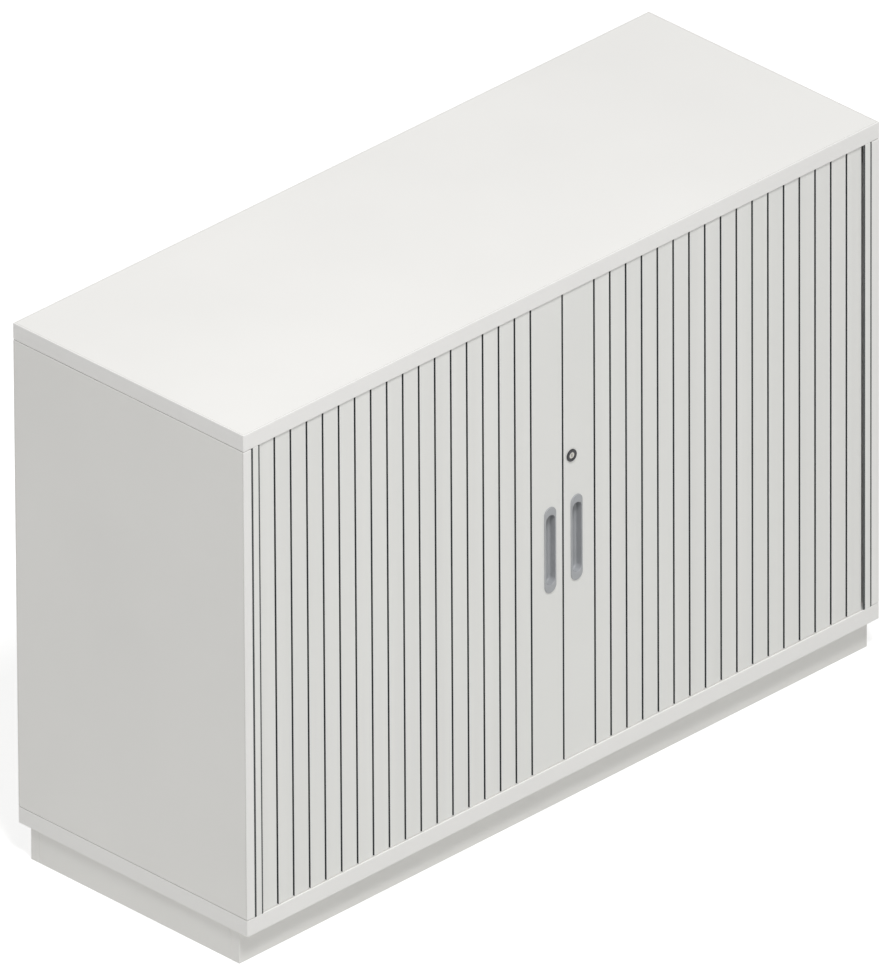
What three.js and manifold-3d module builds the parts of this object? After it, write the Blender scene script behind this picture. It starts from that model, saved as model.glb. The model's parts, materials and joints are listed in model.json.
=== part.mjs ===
// Tambour door cabinet: a low storage unit whose two slatted curtains slide apart and fold away
// behind its ends. Lengths are in millimetres and +Z is up. The origin is on the floor, under the
// middle of the cabinet. The doors face -Y, and depths are counted back from the front plane.
import * as THREE from "three";
import { mergeVertices } from "three/addons/utils/BufferGeometryUtils.js";
import Module from "manifold-3d";

const wasm = await Module();
wasm.setup();

// Driving dimensions of the carcass
const overall_width = 1200;
const overall_depth = 436;
const opening_height = 718;
const board_thickness = 25; // top and base
const side_thickness = 16;
const back_thickness = 7;
const back_inset = 1; // from the rear edges of the sides to the back panel
const back_rebate = 8; // how far the back panel is let into each side
const seat_gap = 0.1; // hairline between two boards that bear on each other
const cut_overrun = 1; // how far a cutting tool runs past the face that it opens

// Plinth under the base
const plinth_height = 50;
const plinth_thickness = 16;
const plinth_front_inset = 19.5;
const plinth_back_inset = 20;
const plinth_side_inset = 3.5;

// Slatted curtains
const slat_count = 17; // on each door
const slat_thickness = 9;
const slat_gap = 1.8; // between the bodies of two neighbours
const slat_edge_radius = 1.5; // rounds the front edges, so that each joint is a fine groove
const slat_relief = 1.2; // takes the back edges in, so that the curtain can bend
const front_setback = 2.8; // from the front plane to the face of the doors
const hinge_depth = 6; // from the face of the doors to the line that the slats hinge on
const bead_radius = 1.5;
const bead_reach = 3; // from the middle of the joint to the centre of the bead
const neck_thickness = 1.2;
const hinge_clearance = 0.3;
const end_clearance = 0.4; // above and below the doors

// Pins on the slat ends, and the track that they run in
const pin_diameter = 5;
const pin_length = 6;
const pin_inset = 7.5; // from the middle of the joint on the pocket side
const track_clearance = 0.5;
const track_floor_clearance = 1;
const track_corner_radius = 10;
const track_back_run = 120; // length of the run behind the inner back

// Pocket at each end: jamb, liner and the room around the slats
const jamb_width = 14;
const jamb_thickness = 1.5;
const jamb_leg = 9;
const pocket_clearance = 1.9; // between the side panel and the slats
const liner_clearance = 1;
const liner_thickness = 12;
const back_run_clearance = 1;
const back_run_room = 18; // behind the inner back, for slats that turn the rear corner
const inner_back_thickness = 8;

// Lead stiles
const lead_width = 60;
const lead_thickness = 19.5;
const meeting_gap = 1.6;
const lead_clearance = 3; // between the lead stile and the front edge of the liner
const tongue_inset = 6; // from each edge of the stile to its tongue in the track

// Shelf and its two angle rails
const shelf_thickness = 18;
const shelf_setback = 12; // behind the front edge of the liners
const shelf_clearance = 1;
const shelf_height_share = 0.5; // of the opening
const rail_leg = 14;
const rail_thickness = 1.5;
const rail_end_inset = 17.5; // from the front and the rear edge of the shelf to the ends of its rails

// Recessed pulls
const pull_length = 131;
const pull_width = 21.5;
const pull_from_meeting = 25;
const pull_height = 410; // centre above the floor
const pull_flange_thickness = 1.6;
const pull_side_land = 2.2; // width of the flange on both sides of the mouth
const pull_end_land = 12; // and above and below it
const pull_wall = 1.2;
const pull_depth = 11;
const pull_floor_radius = 3; // rounds the floor of the cup into its walls
const peg_radius = 2.5; // a peg behind each end land is pressed into the stile
const peg_length = 8;
const peg_inset = 5.4; // from the end of the flange to the middle of the peg
const pocket_fit = 0.3; // room around the cup and the lock in the stile

// Lock: barrel and nut in the right stile, plug and hook that turn, strike on the left stile
const lock_from_meeting = 16;
const lock_above_pull = 63.5; // from the upper end of the pull to the centre of the lock
const bezel_radius = 9;
const bezel_thickness = 2.2;
const bezel_chamfer = 0.8;
const bezel_rim = 1.6; // flat ring between the chamfer and the dish
const bezel_dish = 0.5; // depth of the dish round the plug
const barrel_radius = 7.5;
const plug_radius = 4.5;
const plug_recess = 0.4; // from the floor of the dish to the face of the plug
const tail_stand = 0.5; // how far the tail of the plug stands out behind the hook
const key_slot_width = 1.4;
const key_slot_length = 6;
const key_slot_depth = 5;
const nut_radius = 11;
const nut_thickness = 3;
const hook_clearance = 0.5;
const hook_thickness = 3;
const hook_hub_radius = 8;
const hook_arm_width = 7;
const hook_band_width = 4.5;
const hook_arm_angle = THREE.MathUtils.degToRad(50);
const hook_tip_angle = THREE.MathUtils.degToRad(110);
const tail_side = 5; // square tail of the plug, through the hook
const post_from_lock = 26;
const post_radius = 2;
const post_length = 7.5;
const strike_width = 14;
const strike_height = 30;
const strike_thickness = 1.5;
const strike_corner_radius = 2;

// Fineness of the round stretches
const fine_steps = 5;
const coarse_steps = 3;
const pin_sides = 10;
const round_sides = 28; // of a full circle

// Places worked out from the dimensions above
const half_width = overall_width / 2;
const front = -overall_depth / 2;
const base_top = plinth_height + board_thickness;
const opening_top = base_top + opening_height;
const overall_height = opening_top + board_thickness;
const boards_low = base_top + seat_gap;
const boards_high = opening_top - seat_gap;
const doors_low = base_top + end_clearance;
const doors_high = opening_top - end_clearance;
const door_front = front + front_setback;
const back_rear = front + overall_depth - back_inset;
const door_width = half_width - side_thickness - jamb_width;
const slat_pitch = (door_width - lead_width) / slat_count;
const socket_radius = bead_radius + hinge_clearance;
const mouth_half = neck_thickness / 2 + hinge_clearance;
const track_width = pin_diameter + 2 * track_clearance;
const track_depth = pin_length + track_floor_clearance;
const track_front = door_front + hinge_depth;
const track_back = back_rear - back_thickness - back_run_clearance - hinge_depth;
const track_side = half_width - side_thickness - pocket_clearance - pin_inset + slat_gap / 2;
const liner_outer = track_side + pin_inset - slat_pitch - bead_reach - socket_radius - liner_clearance;
const liner_inner = liner_outer - liner_thickness;
const liner_front = door_front + lead_thickness + lead_clearance;
const inner_back_rear = track_back - (slat_thickness - hinge_depth) - back_run_room;
const inner_back_front = inner_back_rear - inner_back_thickness;
const shelf_middle = base_top + shelf_height_share * opening_height;
const shelf_low = shelf_middle - shelf_thickness / 2;
const shelf_front = liner_front + shelf_setback;
const shelf_rear = inner_back_front - shelf_clearance;
const mouth_length = pull_length - 2 * pull_end_land;
const mouth_width = pull_width - 2 * pull_side_land;
const cup_length = mouth_length + 2 * pull_wall;
const cup_width = mouth_width + 2 * pull_wall;
const peg_from_middle = pull_length / 2 - peg_inset;
const lock_height = pull_height + pull_length / 2 + lock_above_pull;

// Finishes
const white_board = { color: 0xefeeea, roughness: 0.55, metalness: 0 };
const pale_slat = { color: 0xe6e6e3, roughness: 0.45, metalness: 0 };
const grey_plastic = { color: 0x8d9092, roughness: 0.5, metalness: 0 };
const satin_metal = { color: 0xc3c5c7, roughness: 0.35, metalness: 1 };
const plain_aluminium = { color: 0xcfd1d3, roughness: 0.4, metalness: 1 };

// A closed geometry as a solid that can be joined and cut
function solid_of(geometry) {
  const bare = geometry.index ? geometry.toNonIndexed() : geometry.clone();
  bare.deleteAttribute("normal");
  bare.deleteAttribute("uv");
  const merged = mergeVertices(bare);
  return new wasm.Manifold(
    new wasm.Mesh({
      numProp: 3,
      vertProperties: merged.attributes.position.array,
      triVerts: new Uint32Array(merged.index.array),
    }),
  );
}

function geometry_of(solid) {
  const mesh = solid.getMesh();
  const geometry = new THREE.BufferGeometry();
  geometry.setAttribute("position", new THREE.BufferAttribute(mesh.vertProperties, mesh.numProp));
  geometry.setIndex(new THREE.BufferAttribute(mesh.triVerts, 1));
  geometry.computeVertexNormals();
  return geometry;
}

function joined(...geometries) {
  return geometry_of(geometries.map(solid_of).reduce((whole, next) => whole.add(next)));
}

function cut(geometry, ...tools) {
  return geometry_of(tools.map(solid_of).reduce((rest, tool) => rest.subtract(tool), solid_of(geometry)));
}

function common(first, second) {
  return geometry_of(solid_of(first).intersect(solid_of(second)));
}

// A box between two corners
function box(x0, x1, y0, y1, z0, z1) {
  const geometry = new THREE.BoxGeometry(x1 - x0, y1 - y0, z1 - z0);
  return geometry.translate((x0 + x1) / 2, (y0 + y1) / 2, (z0 + z1) / 2);
}

// A plan outline raised from z0 to z1
function raised(outline, z0, z1, steps = coarse_steps) {
  const geometry = new THREE.ExtrudeGeometry(outline, {
    depth: z1 - z0,
    bevelEnabled: false,
    curveSegments: steps,
  });
  return geometry.translate(0, 0, z0);
}

// An outline seen from the front, with its second coordinate upwards, run back from y0 to y1
function run_back(outline, y0, y1, steps = fine_steps) {
  const geometry = new THREE.ExtrudeGeometry(outline, {
    depth: y1 - y0,
    bevelEnabled: false,
    curveSegments: steps,
  });
  return geometry.rotateX(Math.PI / 2).translate(0, y1, 0);
}

function polygon(points) {
  return new THREE.Shape(points.map(([x, y]) => new THREE.Vector2(x, y)));
}

// An outline with two straight sides and two half-round ends, its length upwards
function upright_slot(length, width) {
  const radius = width / 2;
  const outline = new THREE.Shape();
  outline.absarc(0, length / 2 - radius, radius, 0, Math.PI);
  outline.absarc(0, radius - length / 2, radius, Math.PI, 2 * Math.PI);
  return outline;
}

function rounded_rectangle(width, height, radius) {
  const x = width / 2 - radius;
  const y = height / 2 - radius;
  const outline = new THREE.Shape();
  outline.absarc(x, y, radius, 0, Math.PI / 2);
  outline.absarc(-x, y, radius, Math.PI / 2, Math.PI);
  outline.absarc(-x, -y, radius, Math.PI, 1.5 * Math.PI);
  outline.absarc(x, -y, radius, 1.5 * Math.PI, 2 * Math.PI);
  return outline;
}

// A round bar that lies along Y
function round_bar(radius, y0, y1, sides = round_sides) {
  const geometry = new THREE.CylinderGeometry(radius, radius, y1 - y0, sides);
  return geometry.translate(0, (y0 + y1) / 2, 0);
}

// A block with half-round ends that runs back from y0 to y1, its rear edge rounded. Its front edge
// is rounded alike, but in front of y0, where each caller cuts it off or runs it through.
function rounded_back(length, width, y0, y1, radius) {
  const geometry = new THREE.ExtrudeGeometry(upright_slot(length, width), {
    depth: y1 - radius - y0,
    bevelThickness: radius,
    bevelSize: radius,
    bevelOffset: -radius,
    bevelSegments: coarse_steps,
    curveSegments: fine_steps,
  });
  return geometry.rotateX(Math.PI / 2).translate(0, y1 - radius, 0);
}

// A turned piece on the Y axis, from [radius, depth] pairs that run round its section
function turned(pairs) {
  return new THREE.LatheGeometry(
    pairs.map(([radius, depth]) => new THREE.Vector2(radius, depth)),
    round_sides,
  );
}

function piece(name, geometry, finish) {
  const mesh = new THREE.Mesh(geometry, new THREE.MeshStandardMaterial(finish));
  mesh.name = name;
  return mesh;
}

// The track in plan: down both sides, across the front and a short way along the back
function track_outline() {
  const x = track_side - track_corner_radius;
  const y_front = track_front + track_corner_radius;
  const y_back = track_back - track_corner_radius;
  const outer = track_corner_radius + track_width / 2;
  const inner = track_corner_radius - track_width / 2;
  const back_end = track_side - track_back_run;
  const outline = new THREE.Shape();
  outline.moveTo(back_end, track_back - track_width / 2);
  outline.lineTo(back_end, track_back + track_width / 2);
  outline.absarc(x, y_back, outer, Math.PI / 2, 0, true);
  outline.absarc(x, y_front, outer, 0, -Math.PI / 2, true);
  outline.absarc(-x, y_front, outer, 1.5 * Math.PI, Math.PI, true);
  outline.absarc(-x, y_back, outer, Math.PI, Math.PI / 2, true);
  outline.lineTo(-back_end, track_back + track_width / 2);
  outline.lineTo(-back_end, track_back - track_width / 2);
  outline.absarc(-x, y_back, inner, Math.PI / 2, Math.PI);
  outline.absarc(-x, y_front, inner, Math.PI, 1.5 * Math.PI);
  outline.absarc(x, y_front, inner, -Math.PI / 2, 0);
  outline.absarc(x, y_back, inner, 0, Math.PI / 2);
  return outline;
}

// Top and base are the same board, with the track in the face towards the doors
function track_board(z0, z1, track_z0, track_z1) {
  const board = box(-half_width, half_width, front, front + overall_depth, z0, z1);
  return cut(board, raised(track_outline(), track_z0, track_z1));
}

function base_panel() {
  return track_board(plinth_height, base_top, base_top - track_depth, base_top + cut_overrun);
}

function top_panel() {
  return track_board(opening_top, overall_height, opening_top - cut_overrun, opening_top + track_depth);
}

// Side panel in plan, rebated for the leg of the jamb in front and for the back panel behind
function side_panel() {
  const inner = half_width - side_thickness;
  const jamb_rebate = jamb_thickness + seat_gap;
  const jamb_rear = front + jamb_thickness + jamb_leg + seat_gap;
  const back_front = back_rear - back_thickness - seat_gap;
  const outline = polygon([
    [half_width, front],
    [half_width, front + overall_depth],
    [inner + back_rebate, front + overall_depth],
    [inner + back_rebate, back_front],
    [inner, back_front],
    [inner, jamb_rear],
    [inner + jamb_rebate, jamb_rear],
    [inner + jamb_rebate, front],
  ]);
  return raised(outline, boards_low, boards_high);
}

// Jamb: an angle strip whose flange covers the mouth of the pocket
function jamb() {
  const inner = half_width - side_thickness;
  const outline = polygon([
    [inner - jamb_width, front],
    [inner + jamb_thickness, front],
    [inner + jamb_thickness, front + jamb_thickness + jamb_leg],
    [inner, front + jamb_thickness + jamb_leg],
    [inner, front + jamb_thickness],
    [inner - jamb_width, front + jamb_thickness],
  ]);
  return raised(outline, boards_low, boards_high);
}

function back_panel() {
  const edge = half_width - side_thickness + back_rebate - seat_gap;
  return box(-edge, edge, back_rear - back_thickness, back_rear, boards_low, boards_high);
}

function liner() {
  return box(liner_inner, liner_outer, liner_front, inner_back_rear, boards_low, boards_high);
}

function inner_back() {
  const edge = liner_inner - seat_gap;
  return box(-edge, edge, inner_back_front, inner_back_rear, boards_low, boards_high);
}

function shelf() {
  const edge = liner_inner - shelf_clearance;
  return box(-edge, edge, shelf_front, shelf_rear, shelf_low, shelf_low + shelf_thickness);
}

// Angle rail on the inner face of a liner, with one leg under the shelf
function shelf_rail() {
  const wall = liner_inner - seat_gap;
  const top = shelf_low - seat_gap;
  const outline = polygon([
    [wall, top],
    [wall - rail_leg, top],
    [wall - rail_leg, top - rail_thickness],
    [wall - rail_thickness, top - rail_thickness],
    [wall - rail_thickness, top - rail_leg],
    [wall, top - rail_leg],
  ]);
  return run_back(outline, shelf_front + rail_end_inset, shelf_rear - rail_end_inset);
}

// Plinth: a front and a back board with a side board between them at each end
function plinth_long_board(y0) {
  const edge = half_width - plinth_side_inset;
  return box(-edge, edge, y0, y0 + plinth_thickness, 0, plinth_height - seat_gap);
}

function plinth_side() {
  const outer = half_width - plinth_side_inset;
  const y0 = front + plinth_front_inset + plinth_thickness + seat_gap;
  const y1 = front + overall_depth - plinth_back_inset - plinth_thickness - seat_gap;
  return box(outer - plinth_thickness, outer, y0, y1, 0, plinth_height - seat_gap);
}

// The edge towards the pocket: rounded in front, with the socket that takes the neighbour's bead.
// The joint's middle is at x, and the outline is drawn from the front to the back of the edge.
function draw_socket_edge(outline, joint_x, back, relief) {
  const edge = joint_x - slat_gap / 2;
  const centre = joint_x - bead_reach;
  const mouth_angle = Math.asin(mouth_half / socket_radius);
  outline.absarc(edge - slat_edge_radius, slat_edge_radius, slat_edge_radius, -Math.PI / 2, 0);
  outline.lineTo(edge, hinge_depth - mouth_half);
  outline.absarc(centre, hinge_depth, socket_radius, -mouth_angle, mouth_angle, true);
  outline.lineTo(edge, hinge_depth + mouth_half);
  outline.lineTo(edge - relief, back);
}

// The edge towards the meeting line: a neck and bead, drawn from the back to the front
function draw_bead_edge(outline, joint_x) {
  const edge = joint_x + slat_gap / 2;
  const centre = joint_x - bead_reach;
  const neck_half = neck_thickness / 2;
  const neck_angle = Math.asin(neck_half / bead_radius);
  outline.lineTo(edge + slat_relief, slat_thickness);
  outline.lineTo(edge, hinge_depth + neck_half);
  outline.absarc(centre, hinge_depth, bead_radius, neck_angle, 2 * Math.PI - neck_angle);
  outline.lineTo(edge, hinge_depth - neck_half);
  outline.absarc(edge + slat_edge_radius, slat_edge_radius, slat_edge_radius, Math.PI, 1.5 * Math.PI);
}

// One slat, centred on its pitch, with its face at y = 0 and a pin at each end
function slat() {
  const outline = new THREE.Shape();
  draw_socket_edge(outline, slat_pitch / 2, slat_thickness, slat_relief);
  draw_bead_edge(outline, -slat_pitch / 2);
  const pin = new THREE.CylinderGeometry(
    pin_diameter / 2,
    pin_diameter / 2,
    doors_high - doors_low + 2 * pin_length,
    pin_sides,
  );
  pin.rotateX(Math.PI / 2);
  pin.translate(slat_pitch / 2 - pin_inset, hinge_depth, (doors_low + doors_high) / 2);
  return joined(raised(outline, doors_low, doors_high, coarse_steps), pin);
}

// Lead stile: the wide board at the front of each curtain, with a long tongue in the track
function lead_blank() {
  const meeting = meeting_gap / 2;
  const outline = new THREE.Shape();
  draw_socket_edge(outline, lead_width, lead_thickness, 0);
  outline.lineTo(meeting, lead_thickness);
  outline.absarc(meeting + slat_edge_radius, slat_edge_radius, slat_edge_radius, Math.PI, 1.5 * Math.PI);
  const tongue = raised(
    rounded_rectangle(lead_width - 2 * tongue_inset, pin_diameter, pin_diameter / 2),
    doors_low - pin_length,
    doors_high + pin_length,
  );
  tongue.translate(lead_width / 2, hinge_depth, 0);
  const pocket = run_back(
    upright_slot(cup_length + 2 * pocket_fit, cup_width + 2 * pocket_fit),
    -cut_overrun,
    pull_depth + pocket_fit,
  );
  pocket.translate(pull_from_meeting, 0, pull_height);
  const holes = pegs(peg_radius + pocket_fit, -cut_overrun, peg_length + pocket_fit);
  holes.forEach((hole) => hole.translate(pull_from_meeting, 0, pull_height));
  return cut(joined(raised(outline, doors_low, doors_high), tongue), pocket, ...holes);
}

function right_lead_stile() {
  const bore = round_bar(barrel_radius + pocket_fit, -cut_overrun, lead_thickness + cut_overrun);
  bore.translate(lock_from_meeting, 0, lock_height);
  return cut(lead_blank(), bore);
}

// The two pegs of a pull, or the holes for them
function pegs(radius, y0, y1) {
  const places = [peg_from_middle, -peg_from_middle];
  return places.map((z) => round_bar(radius, y0, y1, pin_sides).translate(0, 0, z));
}

// Recessed pull: a flanged cup with a rounded floor and two pegs behind
function pull() {
  const flange_back = -seat_gap;
  const flange_front = flange_back - pull_flange_thickness;
  const flange_middle = (flange_front + flange_back) / 2;
  const flange = run_back(upright_slot(pull_length, pull_width), flange_front, flange_back);
  const block = rounded_back(
    cup_length, cup_width, flange_back, pull_depth, pull_floor_radius + pull_wall,
  );
  const behind_flange = box(
    -pull_width, pull_width, flange_middle, pull_depth + cut_overrun, -pull_length, pull_length,
  );
  const cup = common(block, behind_flange);
  const hollow = rounded_back(
    mouth_length, mouth_width, flange_front - cut_overrun, pull_depth - pull_wall, pull_floor_radius,
  );
  return cut(joined(flange, cup, ...pegs(peg_radius, flange_middle, peg_length)), hollow);
}

// Lock barrel with its bezel, open along its axis for the plug
function lock_barrel() {
  const bore = plug_radius + pocket_fit;
  const bezel_back = -seat_gap;
  const face = bezel_back - bezel_thickness;
  const rim_outer = bezel_radius - bezel_chamfer;
  const rear = lead_thickness + seat_gap + nut_thickness;
  return turned([
    [bore, face + bezel_dish],
    [rim_outer - bezel_rim, face],
    [rim_outer, face],
    [bezel_radius, face + bezel_chamfer],
    [bezel_radius, bezel_back],
    [barrel_radius, bezel_back],
    [barrel_radius, rear],
    [bore, rear],
    [bore, face + bezel_dish],
  ]);
}

function lock_nut() {
  const outline = new THREE.Shape(
    Array.from({ length: 6 }, (_, corner) => {
      const angle = (corner * Math.PI) / 3;
      return new THREE.Vector2(nut_radius * Math.cos(angle), nut_radius * Math.sin(angle));
    }),
  );
  const seat = lead_thickness + seat_gap;
  const rear = seat + nut_thickness;
  const bore = round_bar(barrel_radius + pocket_fit, seat - cut_overrun, rear + cut_overrun);
  return cut(run_back(outline, seat, rear), bore);
}

const hook_front = lead_thickness + seat_gap + nut_thickness + hook_clearance;
const hook_back = hook_front + hook_thickness;

// Plug with its key slot in front and its square tail through the hook
function lock_plug() {
  const face = -seat_gap - bezel_thickness + bezel_dish + plug_recess;
  const shoulder = hook_front - seat_gap;
  const half_tail = tail_side / 2;
  const body = turned([
    [0, face],
    [plug_radius, face],
    [plug_radius, shoulder],
    [0, shoulder],
  ]);
  const tail = box(
    -half_tail, half_tail, shoulder - cut_overrun, hook_back + tail_stand, -half_tail, half_tail,
  );
  const slot = box(
    -key_slot_width / 2, key_slot_width / 2,
    face - cut_overrun, face + key_slot_depth,
    -key_slot_length / 2, key_slot_length / 2,
  );
  return cut(joined(body, tail), slot);
}

// Hook: a hub, an arm and a band that runs round the lock's axis, beyond the post that it takes
function lock_hook() {
  const inner = post_from_lock + post_radius + hook_clearance;
  const outer = inner + hook_band_width;
  const hub = round_bar(hook_hub_radius, hook_front, hook_back);
  const arm = box(
    0, (inner + outer) / 2, hook_front, hook_back, -hook_arm_width / 2, hook_arm_width / 2,
  );
  arm.rotateY(-hook_arm_angle);
  const band_start = hook_arm_angle - Math.asin(hook_arm_width / 2 / outer);
  const band_outline = new THREE.Shape();
  band_outline.absarc(0, 0, outer, band_start, hook_tip_angle);
  band_outline.absarc(0, 0, inner, hook_tip_angle, band_start, true);
  const band = run_back(band_outline, hook_front, hook_back);
  const half_hole = tail_side / 2 + pocket_fit;
  const hole = box(
    -half_hole, half_hole, hook_front - cut_overrun, hook_back + cut_overrun, -half_hole, half_hole,
  );
  return cut(joined(hub, arm, band), hole);
}

// Strike: a plate on the back of the left stile, with the post that the hook closes round
function lock_strike() {
  const seat = lead_thickness + seat_gap;
  const plate = run_back(
    rounded_rectangle(strike_width, strike_height, strike_corner_radius),
    seat,
    seat + strike_thickness,
  );
  const post = round_bar(post_radius, seat, seat + post_length);
  return joined(plate, post);
}

// The pieces of one end, made for the right and mirrored for the left
function end_pieces(side) {
  const end = new THREE.Group();
  end.add(piece(`${side}_side_panel`, side_panel(), white_board));
  end.add(piece(`${side}_jamb`, jamb(), white_board));
  end.add(piece(`${side}_liner`, liner(), white_board));
  end.add(piece(`${side}_shelf_rail`, shelf_rail(), plain_aluminium));
  end.add(piece(`plinth_${side}`, plinth_side(), white_board));
  return end;
}

// One curtain: slat 1 is nearest the pocket and the last is next to the lead stile
function curtain(side, lead) {
  const door = new THREE.Group();
  door.position.y = door_front;
  const slat_geometry = slat();
  for (let number = 1; number <= slat_count; number += 1) {
    const name = `${side}_slat_${String(number).padStart(2, "0")}`;
    const one = piece(name, slat_geometry, pale_slat);
    one.position.x = lead_width + (slat_count - number) * slat_pitch + slat_pitch / 2;
    door.add(one);
  }
  door.add(piece(`${side}_lead_stile`, lead, pale_slat));
  const handle = piece(`${side}_pull`, pull(), grey_plastic);
  handle.position.set(pull_from_meeting, 0, pull_height);
  door.add(handle);
  return door;
}

function lock() {
  const group = new THREE.Group();
  group.position.set(lock_from_meeting, 0, lock_height);
  group.add(piece("lock_barrel", lock_barrel(), satin_metal));
  group.add(piece("lock_nut", lock_nut(), satin_metal));
  group.add(piece("lock_plug", lock_plug(), satin_metal));
  group.add(piece("lock_hook", lock_hook(), satin_metal));
  return group;
}

const cabinet = new THREE.Group();

const right_half = new THREE.Group();
const left_half = new THREE.Group();
left_half.scale.x = -1;
cabinet.add(right_half, left_half);
right_half.add(end_pieces("right"));
left_half.add(end_pieces("left"));

const right_door = curtain("right", right_lead_stile());
right_door.add(lock());
right_half.add(right_door);

const left_door = curtain("left", lead_blank());
const strike = piece("lock_strike", lock_strike(), satin_metal);
strike.position.set(post_from_lock - lock_from_meeting, 0, lock_height);
left_door.add(strike);
left_half.add(left_door);

cabinet.add(piece("base_panel", base_panel(), white_board));
cabinet.add(piece("top_panel", top_panel(), white_board));
cabinet.add(piece("back_panel", back_panel(), white_board));
cabinet.add(piece("inner_back", inner_back(), white_board));
cabinet.add(piece("shelf", shelf(), white_board));
cabinet.add(piece("plinth_front", plinth_long_board(front + plinth_front_inset), white_board));
cabinet.add(piece(
  "plinth_back",
  plinth_long_board(front + overall_depth - plinth_back_inset - plinth_thickness),
  white_board,
));

export default cabinet;
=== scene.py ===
"""Tambour door cabinet: finishes, rounded edges and small fittings around its measured frame.

Run as a script. It registers its operators, calls them in order and leaves the scene ready to
render.
"""
import json
import math

import bmesh
import bpy
from mathutils import Matrix, Vector


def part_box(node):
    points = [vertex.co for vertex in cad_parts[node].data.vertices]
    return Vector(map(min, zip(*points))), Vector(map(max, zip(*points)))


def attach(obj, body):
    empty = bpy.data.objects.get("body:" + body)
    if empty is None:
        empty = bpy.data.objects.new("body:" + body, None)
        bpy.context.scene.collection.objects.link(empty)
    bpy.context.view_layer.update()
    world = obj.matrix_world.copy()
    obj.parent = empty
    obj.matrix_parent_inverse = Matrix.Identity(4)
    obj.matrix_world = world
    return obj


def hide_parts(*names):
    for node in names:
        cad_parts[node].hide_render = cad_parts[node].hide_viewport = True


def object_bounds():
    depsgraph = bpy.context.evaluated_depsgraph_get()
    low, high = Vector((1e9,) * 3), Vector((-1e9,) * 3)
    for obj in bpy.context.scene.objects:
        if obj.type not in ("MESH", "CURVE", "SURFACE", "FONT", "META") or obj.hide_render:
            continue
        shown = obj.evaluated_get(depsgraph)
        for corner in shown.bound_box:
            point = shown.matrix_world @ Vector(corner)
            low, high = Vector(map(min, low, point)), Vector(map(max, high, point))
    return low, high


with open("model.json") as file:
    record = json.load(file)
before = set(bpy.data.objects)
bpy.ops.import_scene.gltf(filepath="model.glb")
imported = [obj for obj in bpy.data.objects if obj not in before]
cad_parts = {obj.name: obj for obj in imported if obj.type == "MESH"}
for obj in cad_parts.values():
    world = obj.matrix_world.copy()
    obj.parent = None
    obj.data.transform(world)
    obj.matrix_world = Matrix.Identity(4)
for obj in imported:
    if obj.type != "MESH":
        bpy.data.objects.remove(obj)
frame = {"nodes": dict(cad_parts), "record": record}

bl_info = {
    "name": "Tambour Door Cabinet",
    "version": (1, 0, 0),
    "blender": (4, 5, 0),
    "location": "View3D > Sidebar > Cabinet",
    "description": "Dresses a cabinet with slatted sliding doors, piece by piece",
    "category": "Add Mesh",
}

CAD_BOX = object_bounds()
BODY_OF = {
    node: body
    for body, nodes in frame["record"]["behaviour"]["bodies"].items()
    for node in nodes
}
SIDES = ("left", "right")
MM = 0.001
X, Y, Z = range(3)
WHITE = (1, 1, 1, 1)
NEAR = 0.01 * MM  # two places this close are the same
MERGE_WITHIN = 0.002 * MM  # corners of a CAD mesh this close are one corner
CUT_TOLERANCE = 0.0001 * MM  # corners this close to a cutting plane lie on it
FLAT_WITHIN = math.radians(0.5)  # CAD triangles that turn by less are one flat face
SHARP_FROM = math.radians(30)  # edges that turn by more get broken
SMOOTH_BELOW = math.radians(40)  # edges that turn by less are shaded smooth
CHAMFER = 1  # steps of an edge that is cut flat, not rounded


def to_linear(hex_colour):
    """An sRGB hex colour as linear red, green, blue and alpha."""
    parts = [int(hex_colour[i:i + 2], 16) / 255 for i in (1, 3, 5)]
    return (*(p / 12.92 if p <= 0.04045 else ((p + 0.055) / 1.055) ** 2.4 for p in parts), 1.0)


def length_prop(name, description, millimetres):
    """A length that a user can change, given in millimetres and kept in metres."""
    return bpy.props.FloatProperty(
        name=name, description=description, default=millimetres * MM,
        min=0.0, unit="LENGTH", precision=4,
    )


def colour_prop(name, description, hex_colour):
    """A colour that a user can change."""
    return bpy.props.FloatVectorProperty(
        name=name, description=description, subtype="COLOR", size=4,
        default=to_linear(hex_colour), min=0.0, max=1.0,
    )


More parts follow.
